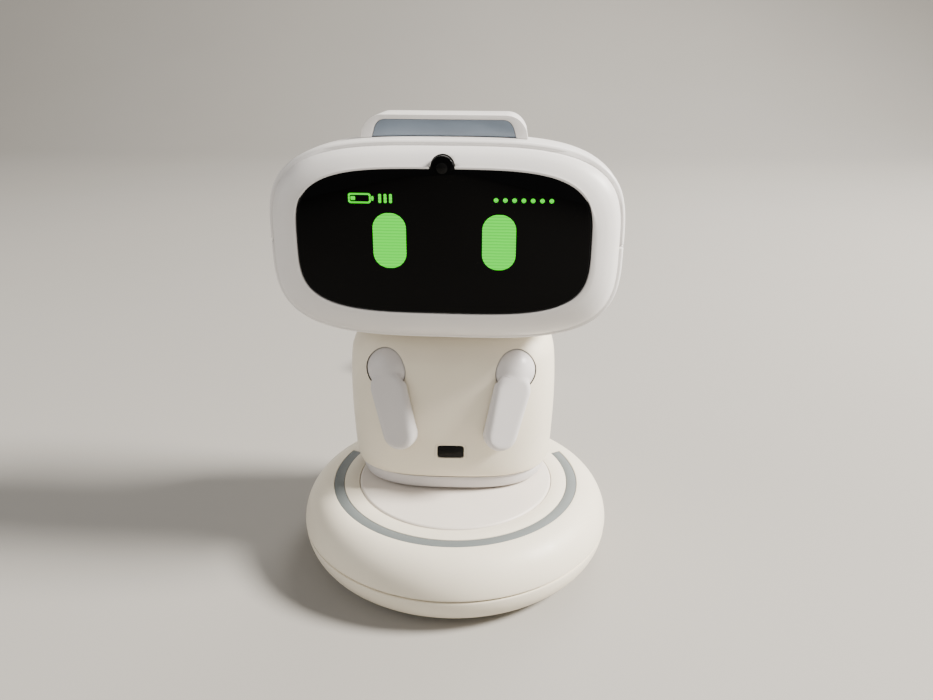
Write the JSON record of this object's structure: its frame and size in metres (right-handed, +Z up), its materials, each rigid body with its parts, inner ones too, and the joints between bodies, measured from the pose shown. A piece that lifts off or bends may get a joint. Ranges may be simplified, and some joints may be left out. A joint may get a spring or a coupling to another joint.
{
  "type": "desktop coding robot on charging dock",
  "caption": "Small wide-headed desktop robot with a glass display face and two swinging arms, standing on a round wireless charging dock with a coiled USB lead.",
  "frame": {"origin": "on the surface the dock stands on, on the axis of the round dock", "axes": "+Z up, the robot looks along -Y, +X is to the left arm side"},
  "size_m": [0.0677, 0.1558, 0.0939],
  "materials": {
    "cream_plastic": "satin, fine moulded texture",
    "plate_plastic": "satin",
    "cool_plastic": "satin, smooth",
    "lead_plastic": "soft satin",
    "ring_grey": "frosted",
    "touch_blue": "gloss",
    "display_glass": "mirror gloss black",
    "black_window": "gloss",
    "black_plastic": "matte",
    "rubber": "matte",
    "circuit_board": "solder mask",
    "bright_metal": "bright",
    "copper": "enamelled copper wire",
    "ferrite": "matte",
    "foil": "pouch foil",
    "motor_case": "satin"
  },
  "bodies": {
    "dock": {"dock_base_shell": "cream_plastic", "dock_top_shell": "cream_plastic", "dock_light_ring": "ring_grey", "charging_plate": "plate_plastic", "dock_rubber_ring": "rubber", "transmit_coil": "copper", "coil_shield": "ferrite", "dock_board": "circuit_board", "usb_c_socket": "bright_metal", "dock_screw_1": "bright_metal", "dock_screw_2": "bright_metal", "dock_screw_3": "bright_metal", "dock_screw_4": "bright_metal", "usb_c_plug": "lead_plastic", "charging_lead": "lead_plastic", "lead_coil": "lead_plastic", "cable_tie": "rubber", "usb_a_plug": "lead_plastic"},
    "robot": {"foot_plate": "cool_plastic", "body_front_shell": "cream_plastic", "body_rear_shell": "cream_plastic", "sensor_rim": "cool_plastic", "sensor_window": "black_window", "receive_coil": "copper", "speaker": "black_plastic", "battery": "foil", "main_board": "circuit_board", "neck_motor": "motor_case", "arm_motor_right": "bright_metal", "arm_motor_left": "bright_metal", "body_screw_1": "bright_metal", "body_screw_2": "bright_metal", "body_screw_3": "bright_metal", "body_screw_4": "bright_metal"},
    "button": {"power_button": "cool_plastic"},
    "right_arm": {"arm_right": "cool_plastic", "shoulder_shaft_right": "bright_metal"},
    "left_arm": {"arm_left": "cool_plastic", "shoulder_shaft_left": "bright_metal"},
    "neck": {"neck_turntable": "cream_plastic", "neck_yoke": "bright_metal"},
    "head": {"tilt_pin": "bright_metal", "tilt_motor": "motor_case", "head_bezel": "cool_plastic", "display_glass": "display_glass", "display_panel": "black_plastic", "camera_module": "black_plastic", "head_rear_upper": "cool_plastic", "head_rear_lower": "cool_plastic", "top_pod": "cool_plastic", "touch_panel": "touch_blue", "head_board": "circuit_board", "head_screw_1": "bright_metal", "head_screw_2": "bright_metal"}
  },
  "joints": [
    {"name": "robot_lift", "type": "slide", "parent": "dock", "child": "robot", "axis": [0, 0, 1], "range_m": [0, 0.04]},
    {"name": "button_press", "type": "slide", "parent": "robot", "child": "button", "axis": [-0.0279, -0.9996, 0], "range_m": [0, 0.0006], "stiffness_N_per_m": 400},
    {"name": "right_arm_swing", "type": "hinge", "parent": "robot", "child": "right_arm", "pos_m": [-0.01296, -0.00396, 0.0437], "axis": [-0.9996, 0.0279, 0], "range_deg": [0, 45]},
    {"name": "left_arm_swing", "type": "hinge", "parent": "robot", "child": "left_arm", "pos_m": [0.01143, -0.00464, 0.0437], "axis": [-0.9996, 0.0279, 0], "range_deg": [0, 45]},
    {"name": "head_turn", "type": "hinge", "parent": "robot", "child": "neck", "pos_m": [-0.00045, 0.007, 0.0516], "axis": [0, 0, 1], "range_deg": [-45, 45]},
    {"name": "head_nod", "type": "hinge", "parent": "neck", "child": "head", "pos_m": [-0.00045, 0.007, 0.0656], "axis": [-0.9978, 0.0663, 0], "range_deg": [-6, 10]}
  ]
}
